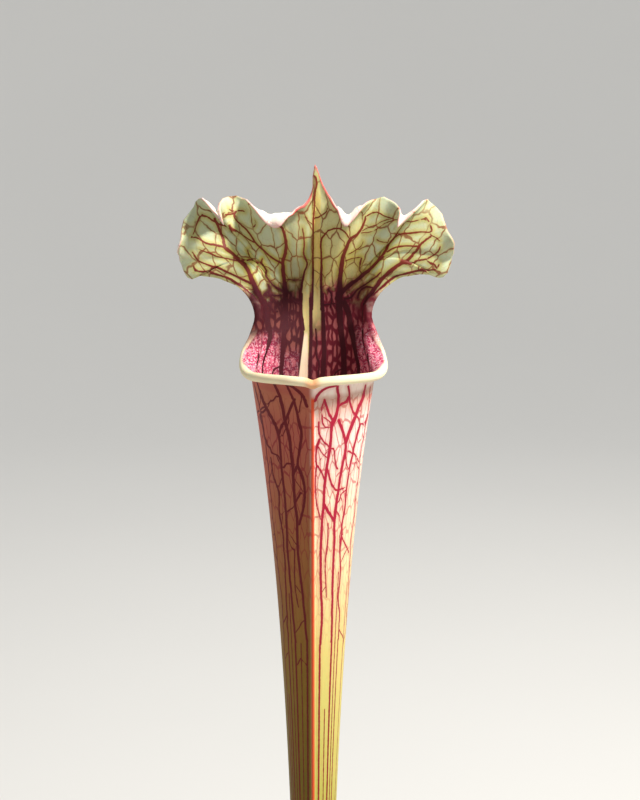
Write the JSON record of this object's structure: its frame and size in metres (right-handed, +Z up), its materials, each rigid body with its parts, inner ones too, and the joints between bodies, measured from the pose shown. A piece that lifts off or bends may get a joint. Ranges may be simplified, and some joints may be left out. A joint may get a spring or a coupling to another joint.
{
  "type": "potted pitcher plant",
  "caption": "Carnivorous pitcher plant in a plain round nursery pot: a tall veined funnel leaf with a rolled lip and ruffled hood, with young pitchers and flat leaves at its foot",
  "frame": {"origin": "middle of the pot's flat underside, on the surface that it stands on", "axes": "+Z up, the tall pitcher's open front and its wing towards -Y, +X to the right seen from the front"},
  "size_m": [0.13, 0.13, 0.4548],
  "materials": {
    "pot": "moulded black nursery plastic, slightly dusty",
    "potting_mix": "moist peat and bark with perlite and moss",
    "rhizome": "brown scaly rhizome with pale roots",
    "pitcher_tall": "waxy leaf, pale cream and green with crimson veins",
    "pitcher_young_right": "waxy young leaf, green with a coppery blush",
    "pitcher_young_left": "waxy young leaf, yellow-green with a coppery blush",
    "flat_leaf_back": "smooth sword-shaped green leaf",
    "flat_leaf_left": "smooth sword-shaped green leaf",
    "flat_leaf_right": "smooth sword-shaped green leaf",
    "pitcher_bud": "closed young pitcher, yellow-green with a red seam"
  },
  "bodies": {
    "root": {"pot": "pot", "potting_mix": "potting_mix", "rhizome": "rhizome", "pitcher_tall": "pitcher_tall", "pitcher_young_right": "pitcher_young_right", "pitcher_young_left": "pitcher_young_left", "flat_leaf_back": "flat_leaf_back", "flat_leaf_left": "flat_leaf_left", "flat_leaf_right": "flat_leaf_right", "pitcher_bud": "pitcher_bud"}
  },
  "joints": []
}
